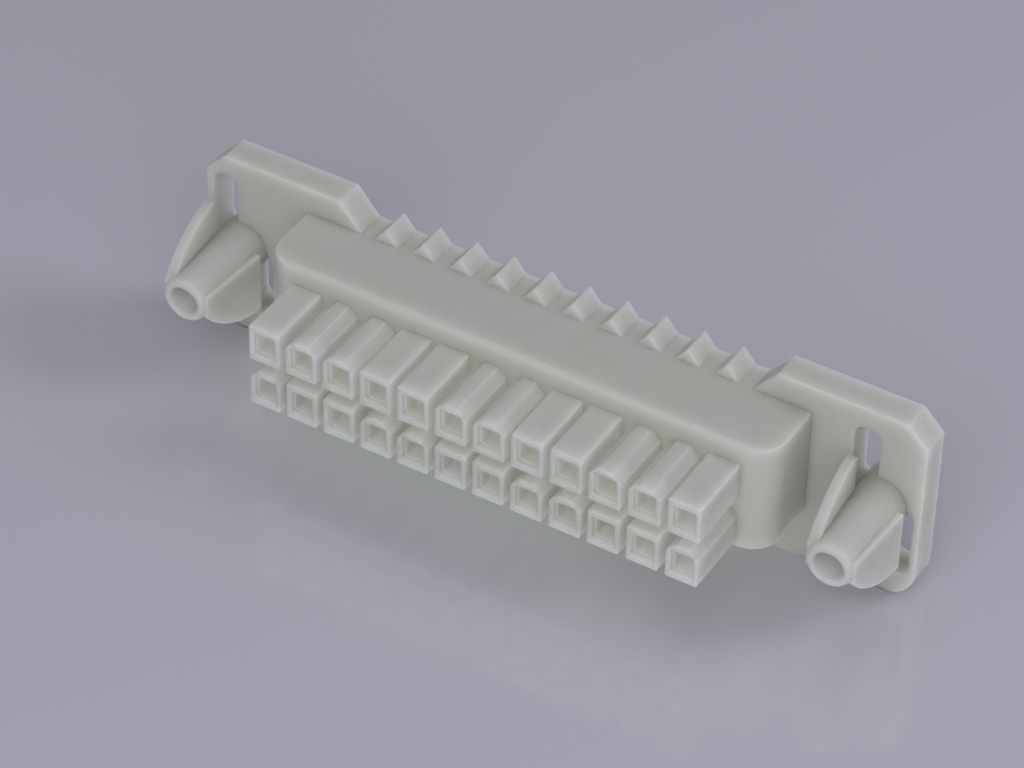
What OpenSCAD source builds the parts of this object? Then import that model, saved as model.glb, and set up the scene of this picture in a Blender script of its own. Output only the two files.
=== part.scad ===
// Two-row panel receptacle housing, one moulding with empty contact cavities.
// X runs along the rows, Y runs from the mating side back to the wire side, Z is up.
// The origin is the middle of the depth, on the flange's lower edge. Lengths are millimetres.

/* [Contact grid] */
// Number of contact columns in each of the two rows
columns = 12; // [4:2:12]
// Distance between neighbouring columns
column_pitch = 4.2; // [3.9:0.05:4.4]
// Distance between the two rows
row_pitch = 5.5; // [5:0.1:6]
// Height of the middle of the grid above the flange's lower edge
grid_height = 11.32; // [10.5:0.02:12]

/* [Silos] */
// Width of one silo
silo_width = 3.45; // [3.3:0.05:3.7]
// Height of one silo
silo_height = 4.15; // [3.9:0.05:4.6]
// Length of a silo in front of the block
silo_length = 7.5; // [5:0.1:10]
// Size of the keyed corners on every chamfered silo
silo_chamfer = 1; // [0.6:0.05:1.1]
// Radius of the silos' long edges
silo_edge = 0.25; // [0.1:0.05:0.4]

/* [Contact cavities] */
// Width of the opening in a silo's front
entry_width = 2; // [1.6:0.05:2.2]
// Height of the opening in a silo's front
entry_height = 2.3; // [1.8:0.05:2.5]
// Depth of the opening before the cavity behind it widens
entry_depth = 2.4; // [1:0.1:4]
// Width of the step that leads in round the opening
lead_step = 0.25; // [0.1:0.05:0.3]
// Depth of the step that leads in
lead_depth = 0.5; // [0.2:0.05:0.9]
// Width of a contact cavity
cavity_width = 2.5; // [2.2:0.05:2.7]
// Height of a contact cavity
cavity_height = 2.9; // [2.6:0.05:3.2]
// Corner radius of a contact cavity
cavity_corner = 0.8; // [0.6:0.05:1]

/* [Block] */
// Length of the block that carries the silos
block_length = 56; // [52:0.5:60]
// Depth of the block from the silos' roots to the flange
block_depth = 7.8; // [5:0.1:10]
// Height of the block's top above the upper silos
block_cover = 2.15; // [1:0.05:3]
// Depth of the block's underside below the lower silos
block_skirt = 0.5; // [0.3:0.05:1.5]
// Plan radius of the block's two front corners
block_corner = 3; // [1:0.1:4.5]
// Radius of the block's upper front edge
block_edge = 0.7; // [0.3:0.05:1]

/* [Flange] */
// Width of the flange over both ears
flange_width = 80; // [76:0.5:86]
// Height of the flange over the ears
flange_height = 21.2; // [20.2:0.1:23]
// Thickness of the flange
flange_thickness = 3.4; // [2.4:0.1:4.5]
// Radius of the ears' two upper corners
upper_corner = 4.1; // [2:0.1:5]
// Radius of the ears' two lower corners
lower_corner = 3.5; // [2:0.1:5]
// Width of the flat floor of each notch in the flange's top
notch_floor = 1.5; // [0.8:0.1:2.2]
// Sideways run of a notch flank for each millimetre of height
notch_flank = 0.84; // [0.6:0.02:1]

/* [Guide posts] */
// Distance from each end of the flange in to a post's axis
post_inset = 4.2; // [4.1:0.1:5]
// Height of the posts' axes above the flange's lower edge
post_height = 10.95; // [10:0.05:11.5]
// Reach of a post in front of the flange
post_reach = 10.65; // [7:0.05:13]
// Radius of a post's core where it meets the flange
core_root = 2.7; // [2.5:0.05:2.9]
// Radius of a post's core at its tip
core_tip = 2.4; // [2.1:0.05:2.5]
// Bevel round the tip
tip_bevel = 0.3; // [0.1:0.05:0.5]
// Radius of the hole along a post
post_bore = 1.6; // [1.2:0.05:1.8]

/* [Snap wings] */
// Thickness of each of the two wings beside a post
wing_thickness = 1.1; // [0.9:0.05:1.3]
// Rise of a wing past the post's axis at its front end
wing_tip = 1.3; // [1:0.05:1.6]
// Rise of a wing past the post's axis at its rear end
wing_rise = 5.65; // [5:0.05:6]
// Shape of a wing's curved edge, where less is fuller
wing_curve = 0.8; // [0.7:0.05:1]
// Depth of a wing on the other side of the post's axis
wing_heel = 1.1; // [0.8:0.05:1.4]
// How far a wing's front end stands out from the core
wing_proud = 0.15; // [0.1:0.05:0.25]
// Outward lean of the wings towards the flange, in degrees
wing_lean = 4; // [3:0.5:5]
// Distance from the tip back to the wings' front ends
wing_setback = 0.45; // [0.4:0.05:1]
// Gap between the wings' rear ends and the flange, which takes the panel
wing_gap = 1.6; // [1.2:0.1:2.4]

/* [Ear slots] */
// Distance from a post's axis to the near side of each slot in the ear
slot_near = 0.6; // [0.4:0.05:1]
// Distance from a post's axis to the far side of each slot in the ear
slot_far = 3.4; // [3.2:0.05:3.5]
// Height of the flange that stays between a slot's end and the flange's nearer edge
slot_cover = 2.25; // [1.9:0.05:3.5]
// Corner radius of the slots
slot_corner = 1.2; // [1:0.05:1.3]

/* [Hidden] */

// How far a cut runs past the face that it opens
past = 1;
// Smoothness of the round surfaces
round_fn = 48;
edge_fn = 20;
// Steps along a wing's curved edge
wing_steps = 10;

total_depth = silo_length + block_depth + flange_thickness;
y_front = -total_depth / 2;
y_block = y_front + silo_length;
y_flange = y_block + block_depth;
y_back = y_flange + flange_thickness;

rows_z = [grid_height - row_pitch / 2, grid_height + row_pitch / 2];
columns_x = [for (c = [0 : columns - 1]) (c - (columns - 1) / 2) * column_pitch];
notches_x = [for (c = [0 : columns - 2]) (c - (columns - 2) / 2) * column_pitch];

block_bottom = rows_z[0] - silo_height / 2 - block_skirt;
block_top = rows_z[1] + silo_height / 2 + block_cover;
post_x = flange_width / 2 - post_inset;
wing_length = post_reach - wing_setback - wing_gap;
slot_rise = min(post_height, flange_height - post_height) - slot_cover;
half_turns = [0, 180];

// Keying: pairs of columns change over, and the lower row is the reverse of the upper one
function keyed(column, row) = ((floor((column + 1) / 2) % 2) == 1) == (row == 1);

// Rise of a wing's edge at a share of its length, 0 at its front end and 1 at its rear end
function wing_edge(share) = wing_tip + (wing_rise - wing_tip) * sin(90 * pow(share, wing_curve));

module rounded(width, height, radius) {
    square([width - 2 * radius, height], center = true);
    square([width, height - 2 * radius], center = true);
    for (sx = [-1, 1], sy = [-1, 1])
        translate([sx * (width / 2 - radius), sy * (height / 2 - radius)])
            circle(r = radius, $fn = edge_fn);
}

// Extrudes an outline drawn in X and Z from one depth to another
module along_y(from, to) {
    translate([0, to, 0])
        rotate([90, 0, 0])
            linear_extrude(to - from)
                children();
}

module silo_outline(is_keyed) {
    half_w = silo_width / 2;
    half_h = silo_height / 2;
    difference() {
        rounded(silo_width, silo_height, silo_edge);
        if (is_keyed)
            for (side = [-1, 1])
                polygon([
                    [side * (half_w - silo_chamfer), half_h],
                    [side * half_w, half_h - silo_chamfer],
                    [side * (half_w + past), half_h + past]]);
    }
}

module at_each_contact() {
    for (c = [0 : columns - 1], r = [0, 1])
        translate([columns_x[c], 0, rows_z[r]]) {
            $keyed = keyed(c, r);
            children();
        }
}

module silos() {
    at_each_contact()
        along_y(y_front, y_block + past)
            silo_outline($keyed);
}

module cavities() {
    at_each_contact() {
        along_y(y_front - past, y_front + lead_depth)
            rounded(entry_width + 2 * lead_step, entry_height + 2 * lead_step, silo_edge);
        along_y(y_front - past, y_front + entry_depth + past)
            rounded(entry_width, entry_height, silo_edge);
        along_y(y_front + entry_depth, y_back + past)
            rounded(cavity_width, cavity_height, cavity_corner);
    }
}

module block_plan() {
    half = block_length / 2;
    translate([-half, y_block + block_corner])
        square([block_length, block_depth - block_corner + flange_thickness / 2]);
    translate([block_corner - half, y_block])
        square([block_length - 2 * block_corner, block_depth]);
    for (side = [-1, 1])
        translate([side * (half - block_corner), y_block + block_corner])
            circle(r = block_corner, $fn = round_fn);
}

module block_section() {
    reach = block_depth + flange_thickness / 2;
    translate([y_block, block_bottom])
        square([reach, block_top - block_bottom - block_edge]);
    translate([y_block + block_edge, block_bottom])
        square([reach - block_edge, block_top - block_bottom]);
    translate([y_block + block_edge, block_top - block_edge])
        circle(r = block_edge, $fn = edge_fn);
}

module block() {
    intersection() {
        translate([0, 0, block_bottom])
            linear_extrude(block_top - block_bottom)
                block_plan();
        translate([-block_length / 2, 0, 0])
            rotate([90, 0, 90])
                linear_extrude(block_length)
                    block_section();
    }
}

module flange_outline() {
    half = flange_width / 2;
    middle = flange_height / 2;
    translate([-half, lower_corner])
        square([flange_width, flange_height - lower_corner - upper_corner]);
    translate([lower_corner - half, 0])
        square([flange_width - 2 * lower_corner, middle]);
    translate([upper_corner - half, middle])
        square([flange_width - 2 * upper_corner, middle]);
    for (side = [-1, 1]) {
        translate([side * (half - lower_corner), lower_corner])
            circle(r = lower_corner, $fn = round_fn);
        translate([side * (half - upper_corner), flange_height - upper_corner])
            circle(r = upper_corner, $fn = round_fn);
    }
}

module notch_outline() {
    rise = flange_height - block_top + past;
    run = rise * notch_flank;
    half = notch_floor / 2;
    polygon([
        [-half, block_top],
        [half, block_top],
        [half + run, block_top + rise],
        [-half - run, block_top + rise]]);
}

// Two slots half a turn apart, one past the post's upper left and one past its lower right
module ear_slots() {
    for (turn = half_turns)
        rotate(turn)
            translate([-(slot_near + slot_far) / 2, slot_rise / 2])
                rounded(slot_far - slot_near, slot_rise, slot_corner);
}

module flange() {
    along_y(y_flange, y_back)
        difference() {
            flange_outline();
            for (x = notches_x)
                translate([x, 0])
                    notch_outline();
            for (side = [-1, 1])
                translate([side * post_x, post_height])
                    ear_slots();
        }
}

// A flat wing on the left of a post that is drawn along Z, rising past the post's axis
module wing() {
    translate([-core_tip - wing_proud, 0, post_reach - wing_setback])
        rotate([0, wing_lean, 0])
            rotate([90, 0, 90])
                linear_extrude(wing_thickness)
                    polygon(concat(
                        [[-wing_heel, -wing_length], [-wing_heel, 0]],
                        [for (i = [0 : wing_steps])
                            [wing_edge(i / wing_steps), -wing_length * i / wing_steps]]));
}

// A post drawn along Z, with its foot in the flange below zero
module post() {
    rotate_extrude($fn = round_fn)
        polygon([
            [0, -flange_thickness],
            [core_root, -flange_thickness],
            [core_root, 0],
            [core_tip, post_reach - tip_bevel],
            [core_tip - tip_bevel, post_reach],
            [0, post_reach]]);
    for (turn = half_turns)
        rotate([0, 0, turn])
            wing();
}

module at_each_post() {
    for (side = [-1, 1])
        translate([side * post_x, y_flange, post_height])
            rotate([90, 0, 0])
                children();
}

module housing() {
    color([0.7, 0.71, 0.66])
        difference() {
            union() {
                silos();
                block();
                flange();
                at_each_post()
                    post();
            }
            cavities();
            at_each_post()
                translate([0, 0, -flange_thickness - past])
                    cylinder(r = post_bore, h = post_reach + flange_thickness + 2 * past, $fn = round_fn);
        }
}

housing();
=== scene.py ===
# %% [markdown]
# # A milky nylon socket header
# The part is one injection moulding of natural nylon: two rows of hollow silos on a block, a flange
# with a saw-toothed top behind them, and a hollow guide post with two snap wings on each ear. The solid
# holds nearly every form already. This lesson cuts the ears' upper corners straight, and then adds what
# a mould and a resin give: soft edges, a satin skin and a body that light goes through.

import math

import bmesh
import bpy
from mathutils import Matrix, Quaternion, Vector


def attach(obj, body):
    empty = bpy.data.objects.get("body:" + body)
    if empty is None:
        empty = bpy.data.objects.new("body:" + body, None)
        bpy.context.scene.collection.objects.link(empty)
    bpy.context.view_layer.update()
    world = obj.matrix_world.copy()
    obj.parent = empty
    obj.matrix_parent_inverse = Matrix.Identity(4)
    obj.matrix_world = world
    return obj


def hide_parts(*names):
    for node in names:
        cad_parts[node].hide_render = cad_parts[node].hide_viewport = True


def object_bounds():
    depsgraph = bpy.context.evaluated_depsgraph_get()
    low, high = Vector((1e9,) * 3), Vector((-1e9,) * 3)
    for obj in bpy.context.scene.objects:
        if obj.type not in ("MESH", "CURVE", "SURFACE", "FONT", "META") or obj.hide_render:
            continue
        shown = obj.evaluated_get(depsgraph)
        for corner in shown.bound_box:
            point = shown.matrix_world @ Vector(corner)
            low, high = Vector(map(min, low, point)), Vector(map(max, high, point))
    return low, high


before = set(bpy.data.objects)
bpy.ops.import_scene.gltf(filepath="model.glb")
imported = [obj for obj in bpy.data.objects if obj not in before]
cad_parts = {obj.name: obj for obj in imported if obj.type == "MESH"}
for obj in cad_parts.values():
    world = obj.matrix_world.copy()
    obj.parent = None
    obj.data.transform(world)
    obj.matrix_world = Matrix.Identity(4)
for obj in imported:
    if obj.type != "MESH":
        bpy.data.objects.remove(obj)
cad_low, cad_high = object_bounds()
MM = 0.001
print("solid's box in mm:", [round(v / MM, 2) for v in (*cad_low, *cad_high)])

# %% [markdown]
# ## Clipped ear corners
# The flange's ears have their two upper corners cut off straight, at 45 degrees, where the solid has a
# round of about the same depth. A boolean with a turned block would cut them too, but it would need a
# second mesh. Here the round's points are pushed out to the square corner first, and then one slanting
# plane bisects the shape there and the hole that it leaves is filled with one flat face.

# %% Cut the ears' upper corners
EAR_ROUND = 4.1 * MM
EAR_CUT = 2.2 * MM
ON_THE_ROUND = 0.02 * MM
MERGE_DISTANCE = 0.002 * MM
FLAT_ANGLE = math.radians(0.5)
BOTH_SIDES = (-1, 1)


def join_flat_faces(shape):
    """Dissolves the edges between faces that lie in one plane."""
    bmesh.ops.dissolve_limit(
        shape, angle_limit=FLAT_ANGLE, verts=shape.verts, edges=shape.edges)


def square_an_ear_corner(shape, side):
    """Pushes the points of one upper round out to the ear's straight side and top."""
    middle = Vector((cad_high.x - EAR_ROUND, cad_high.z - EAR_ROUND))
    for point in shape.verts:
        out = Vector((side * point.co.x, point.co.z)) - middle
        if min(out) < 0 or abs(out.length - EAR_ROUND) > ON_THE_ROUND:
            continue
        corner = middle + out * EAR_ROUND / max(out)
        point.co.x = side * corner.x
        point.co.z = corner.y


def cut_an_ear_corner(shape, side):
    """Takes off what lies past a slanting plane, and closes the shape again."""
    on_top = Vector((side * (cad_high.x - EAR_CUT), 0, cad_high.z))
    cut = bmesh.ops.bisect_plane(
        shape, geom=[*shape.verts, *shape.edges, *shape.faces], dist=MERGE_DISTANCE,
        plane_co=on_top, plane_no=Vector((side, 0, 1)), clear_outer=True)
    rim = [part for part in cut["geom_cut"] if isinstance(part, bmesh.types.BMEdge)]
    bmesh.ops.edgeloop_fill(shape, edges=rim)
    print("ear corner cut along", len(rim), "edges")


def cut_both_ears(shape):
    """Squares both upper corners and then cuts them, with whole flat faces after each step."""
    for side in BOTH_SIDES:
        square_an_ear_corner(shape, side)
    join_flat_faces(shape)
    for side in BOTH_SIDES:
        cut_an_ear_corner(shape, side)
    join_flat_faces(shape)


# %% [markdown]
# ## Soft moulded edges
# A mould is cut with small radii, so no outer edge of a moulding is truly sharp, and each one catches
# a thin line of light. A bevel in the shader would fake that line, but the mesh itself would stay
# sharp. So a copy of the solid's mesh is merged, its flat triangles are dissolved into whole faces, and
# the convex edges are bevelled by a tenth of a millimetre. The edges round the silos' mouths stay as
# they are, because the wall beside a keyed corner is too thin there for two bevels. Normals weighted by
# area keep the large faces flat right up to the bevels, and only then is each face cut into triangles.

# %% Pick the outer edges
COLUMN_PITCH = 4.2 * MM
GRID_HALF_WIDTH = 6 * COLUMN_PITCH
ROW_HEIGHTS = (8.57 * MM, 14.07 * MM)
MOUTH_HALF_WIDTH = 1.32 * MM
MOUTH_HALF_HEIGHT = 1.47 * MM
SHARP_ANGLE = math.radians(35)


def is_at_a_mouth(point):
    """Whether a point lies on a contact's way through the housing, seen from the front."""
    if abs(point.x) > GRID_HALF_WIDTH:
        return False
    from_column = abs(point.x) % COLUMN_PITCH - COLUMN_PITCH / 2
    from_row = min(abs(point.z - height) for height in ROW_HEIGHTS)
    return abs(from_column) < MOUTH_HALF_WIDTH and from_row < MOUTH_HALF_HEIGHT


def is_outer_edge(edge):
    """Whether an edge is sharp, its two faces turn away from each other and it is no mouth's."""
    if len(edge.link_faces) != 2 or not edge.is_convex:
        return False
    if edge.calc_face_angle() < SHARP_ANGLE:
        return False
    start, end = edge.verts
    return not is_at_a_mouth((start.co + end.co) / 2)


# %% Bevel the outer edges of a copy
EDGE_RADIUS = 0.1 * MM


def soft_edged_mesh(node, name):
    """A copy of a node's mesh with cut ears and bevelled outer edges."""
    shape = bmesh.new()
    shape.from_mesh(node.data)
    bmesh.ops.remove_doubles(shape, verts=shape.verts, dist=MERGE_DISTANCE)
    join_flat_faces(shape)
    cut_both_ears(shape)
    bmesh.ops.recalc_face_normals(shape, faces=shape.faces)
    outer = [edge for edge in shape.edges if is_outer_edge(edge)]
    bmesh.ops.bevel(
        shape, geom=outer, offset=EDGE_RADIUS, offset_type="OFFSET", affect="EDGES",
        segments=2, profile=0.5, clamp_overlap=False, material=-1)
    bmesh.ops.remove_doubles(shape, verts=shape.verts, dist=MERGE_DISTANCE)
    mesh = bpy.data.meshes.new(name)
    shape.to_mesh(mesh)
    shape.free()
    print(name, "has", len(outer), "soft edges and", len(mesh.polygons), "faces")
    return mesh


moulding = soft_edged_mesh(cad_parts["housing"], "moulded_housing")

# %% Keep the large faces flat
SMOOTH_ANGLE = math.radians(24)


def smooth_piece(mesh, name):
    """Shades the bevels smooth and the large faces flat, and cuts the faces into triangles last."""
    mesh.shade_smooth()
    mesh.set_sharp_from_angle(angle=SMOOTH_ANGLE)
    piece = bpy.data.objects.new(name, mesh)
    bpy.context.scene.collection.objects.link(piece)
    flats = piece.modifiers.new("flat_faces_stay_flat", "WEIGHTED_NORMAL")
    flats.keep_sharp = True
    triangles = piece.modifiers.new("whole_faces_to_triangles", "TRIANGULATE")
    triangles.keep_custom_normals = True
    print(name, "has", len(piece.modifiers), "modifiers")
    return piece


housing = smooth_piece(moulding, "moulded_housing")
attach(housing, "root")
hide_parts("housing")

# %% [markdown]
# ## Natural nylon
# Unpigmented nylon is cloudy and not clear. Light goes some millimetres into it, scatters and comes out
# again, so thin walls glow, shadows are pale and a little green, and thick places look yellow. Glass
# would let the eye look through, and plain diffuse would look like paint. Random-walk subsurface gives
# the glow, and noise adds the slight clouds that the melt leaves and the fine grain of the spark-cut
# mould. A lamp's rays would still stop at the first wall, so for them alone the nylon is a tinted film:
# the middle, which is full of cavities, lets most of the light by, and the solid ears let less.

# %% Node helpers
def new_material(name):
    """A material with its node tree and its one shader."""
    material = bpy.data.materials.new(name)
    material.use_nodes = True
    tree = material.node_tree
    return material, tree, tree.nodes["Principled BSDF"]


def object_noise(tree, scale, detail):
    """Noise on Object coordinates, with its features about 1 / scale metres across."""
    place = tree.nodes.new("ShaderNodeTexCoord")
    noise = tree.nodes.new("ShaderNodeTexNoise")
    noise.inputs["Scale"].default_value = scale
    noise.inputs["Detail"].default_value = detail
    tree.links.new(place.outputs["Object"], noise.inputs["Vector"])
    return noise.outputs["Fac"]


def ramp(tree, value, stops):
    """Turns a value into a colour by two (position, colour) stops."""
    node = tree.nodes.new("ShaderNodeValToRGB")
    first, last = node.color_ramp.elements
    first.position, first.color = stops[0]
    last.position, last.color = stops[1]
    tree.links.new(value, node.inputs["Fac"])
    return node.outputs["Color"]


def map_range(tree, value, source, target):
    """Carries a value from one (low, high) range to another."""
    node = tree.nodes.new("ShaderNodeMapRange")
    node.inputs["From Min"].default_value, node.inputs["From Max"].default_value = source
    node.inputs["To Min"].default_value, node.inputs["To Max"].default_value = target
    tree.links.new(value, node.inputs["Value"])
    return node.outputs["Result"]


# %% Light through the walls
HOLLOW_HALF_WIDTH = 28 * MM
EAR_BLEND = 1 * MM
HOLLOW_FILM = (0.965, 0.975, 0.935, 1)
EAR_FILM = (0.22, 0.24, 0.18, 1)


def film_for_lamps(tree, shader):
    """Lets the lamps' rays through the surface, and leaves what the eye sees to the shader."""
    place = tree.nodes.new("ShaderNodeTexCoord")
    axes = tree.nodes.new("ShaderNodeSeparateXYZ")
    tree.links.new(place.outputs["Object"], axes.inputs["Vector"])
    aside = tree.nodes.new("ShaderNodeMath")
    aside.operation = "ABSOLUTE"
    tree.links.new(axes.outputs["X"], aside.inputs[0])
    ear_start = (HOLLOW_HALF_WIDTH - EAR_BLEND, HOLLOW_HALF_WIDTH + EAR_BLEND)
    solid = map_range(tree, aside.outputs["Value"], ear_start, (0, 1))
    film = tree.nodes.new("ShaderNodeBsdfTransparent")
    tree.links.new(ramp(tree, solid, [(0, HOLLOW_FILM), (1, EAR_FILM)]), film.inputs["Color"])
    rays = tree.nodes.new("ShaderNodeLightPath")
    either = tree.nodes.new("ShaderNodeMixShader")
    tree.links.new(rays.outputs["Is Shadow Ray"], either.inputs["Fac"])
    tree.links.new(shader.outputs["BSDF"], either.inputs[1])
    tree.links.new(film.outputs["BSDF"], either.inputs[2])
    tree.links.new(either.outputs["Shader"], tree.nodes["Material Output"].inputs["Surface"])


# %% Nylon
CLOUD_SCALE = 130
CLOUD_DETAIL = 3
CLOUD_START = 0.35
CLOUD_END = 0.65
COOL_NYLON = (0.45, 0.463, 0.393, 1)
WARM_NYLON = (0.45, 0.458, 0.373, 1)
SATIN_ROUGHNESS = (0.32, 0.46)
NYLON_IOR = 1.53
LIGHT_DEPTH = 5.5 * MM
SAME_FOR_ALL_COLOURS = (1.0, 1.0, 1.0)
GRAIN_SCALE = 4500
GRAIN_DETAIL = 2
GRAIN_STRENGTH = 0.06
GRAIN_HEIGHT = 0.03 * MM


def nylon():
    """Cloudy, satin and open to light, with a fine grain."""
    material, tree, shader = new_material("natural_nylon")
    clouds = object_noise(tree, CLOUD_SCALE, CLOUD_DETAIL)
    grain = object_noise(tree, GRAIN_SCALE, GRAIN_DETAIL)
    tint = ramp(tree, clouds, [(CLOUD_START, COOL_NYLON), (CLOUD_END, WARM_NYLON)])
    tree.links.new(tint, shader.inputs["Base Color"])
    tree.links.new(map_range(tree, clouds, (0, 1), SATIN_ROUGHNESS), shader.inputs["Roughness"])
    shader.inputs["IOR"].default_value = NYLON_IOR
    shader.inputs["Subsurface Weight"].default_value = 1
    shader.inputs["Subsurface Radius"].default_value = SAME_FOR_ALL_COLOURS
    shader.inputs["Subsurface Scale"].default_value = LIGHT_DEPTH
    bump = tree.nodes.new("ShaderNodeBump")
    bump.inputs["Strength"].default_value = GRAIN_STRENGTH
    bump.inputs["Distance"].default_value = GRAIN_HEIGHT
    tree.links.new(grain, bump.inputs["Height"])
    tree.links.new(bump.outputs["Normal"], shader.inputs["Normal"])
    film_for_lamps(tree, shader)
    print("nylon lets light in about", round(LIGHT_DEPTH / MM, 2), "mm")
    return material


housing.data.materials.append(nylon())

# %% [markdown]
# ## Floor and light
# The part stands on a smooth sheet with a faint mirror to it, in the even, slightly blue light of a
# studio tent. A plain sheet all the way to the horizon keeps other views plain too. The eye sees it as
# a mid grey, and for light that bounces it is as pale as the tent's other walls, which fills the
# part's undersides. A large soft lamp in front on the right lights the silos, one behind on the right
# throws the ears' shadows to the front left, and a weak one overhead evens out the tops. The lamps stay
# out of reflections, so that the sheet mirrors the part and the tent alone.

# %% Floor
FLOOR_HALF = 3.0
FLOOR_GREY = (0.45, 0.45, 0.45, 1)
TENT_WHITE = (0.75, 0.75, 0.75, 1)
FLOOR_ROUGHNESS = 0.1
FLOOR_SHINE = 0.9


def smooth_sheet():
    """Grey to the eye and pale to bounced light, with a faint mirror."""
    material, tree, shader = new_material("smooth_grey_sheet")
    rays = tree.nodes.new("ShaderNodeLightPath")
    grey = ramp(tree, rays.outputs["Is Diffuse Ray"], [(0, FLOOR_GREY), (1, TENT_WHITE)])
    tree.links.new(grey, shader.inputs["Base Color"])
    shader.inputs["Roughness"].default_value = FLOOR_ROUGHNESS
    shader.inputs["Specular IOR Level"].default_value = FLOOR_SHINE
    return material


def lay_floor():
    """A level grid at the part's foot."""
    shape = bmesh.new()
    bmesh.ops.create_grid(shape, x_segments=2, y_segments=2, size=FLOOR_HALF)
    mesh = bpy.data.meshes.new("floor")
    shape.to_mesh(mesh)
    shape.free()
    mesh.materials.append(smooth_sheet())
    sheet = bpy.data.objects.new("floor", mesh)
    bpy.context.scene.collection.objects.link(sheet)
    print("floor is", 2 * FLOOR_HALF, "m wide")


lay_floor()

# %% Light
TENT_TINT = (0.94, 0.94, 1.11)
WORLD_LEVEL = 0.22


def studio_world():
    """Even light from all round, as in a tent."""
    world = bpy.data.worlds.new("studio")
    world.use_nodes = True
    bpy.context.scene.world = world
    light = world.node_tree.nodes["Background"]
    light.inputs["Color"].default_value = (*TENT_TINT, 1)
    light.inputs["Strength"].default_value = WORLD_LEVEL


def softbox(name, place, size, level):
    """A round lamp aimed at the part. At level 1, a white sheet that faces it would be just white."""
    middle = (cad_low + cad_high) / 2
    reach = (place - middle).length
    light = bpy.data.lights.new(name, "AREA")
    light.shape = "DISK"
    light.size = size
    light.color = TENT_TINT
    light.energy = level * (math.pi * reach) ** 2
    lamp = bpy.data.objects.new(name, light)
    lamp.location = place
    lamp.rotation_mode = "QUATERNION"
    lamp.rotation_quaternion = (middle - place).to_track_quat("-Z", "Y")
    lamp.visible_glossy = False
    bpy.context.scene.collection.objects.link(lamp)
    print(name, "is", round(reach, 2), "m away, at", round(light.energy, 2), "W")


studio_world()
softbox("front_softbox", place=Vector((0.21, -0.52, 0.33)), size=0.8, level=0.90)
softbox("back_right_softbox", place=Vector((0.46, 0.26, 0.40)), size=0.3, level=0.31)
softbox("overhead_softbox", place=Vector((0, 0, 0.8)), size=0.9, level=0.17)

# %% [markdown]
# ## Camera
# The photo looks down on the part from about 40 degrees up and 30 degrees round to the right, through a
# long lens and with a slight roll. A Track To constraint could aim the camera at an empty, but a turn
# that is worked out from the angles needs no second object, and takes the roll as well.

# %% Camera
AIM = Vector((-0.9, 0, 12.87)) * MM
AZIMUTH = math.radians(30.35)
ELEVATION = math.radians(40.64)
ROLL = math.radians(1.23)
DISTANCE = 395 * MM
LENS_MM = 145.4
SENSOR_WIDTH_MM = 36
CLIP_START = 10 * MM


def photo_camera():
    """A camera at the photo's place, turned by the photo's angles."""
    data = bpy.data.cameras.new("photo_camera")
    data.lens = LENS_MM
    data.sensor_width = SENSOR_WIDTH_MM
    data.clip_start = CLIP_START
    camera = bpy.data.objects.new("photo_camera", data)
    back = Vector((
        math.sin(AZIMUTH) * math.cos(ELEVATION),
        -math.cos(AZIMUTH) * math.cos(ELEVATION),
        math.sin(ELEVATION)))
    camera.location = AIM + back * DISTANCE
    camera.rotation_mode = "QUATERNION"
    level = (-back).to_track_quat("-Z", "Y")
    camera.rotation_quaternion = level @ Quaternion((0, 0, 1), ROLL)
    bpy.context.scene.collection.objects.link(camera)
    bpy.context.scene.camera = camera
    print("camera stands at", [round(v / MM, 1) for v in camera.location], "mm")


photo_camera()
bpy.context.scene.view_settings.view_transform = "Standard"
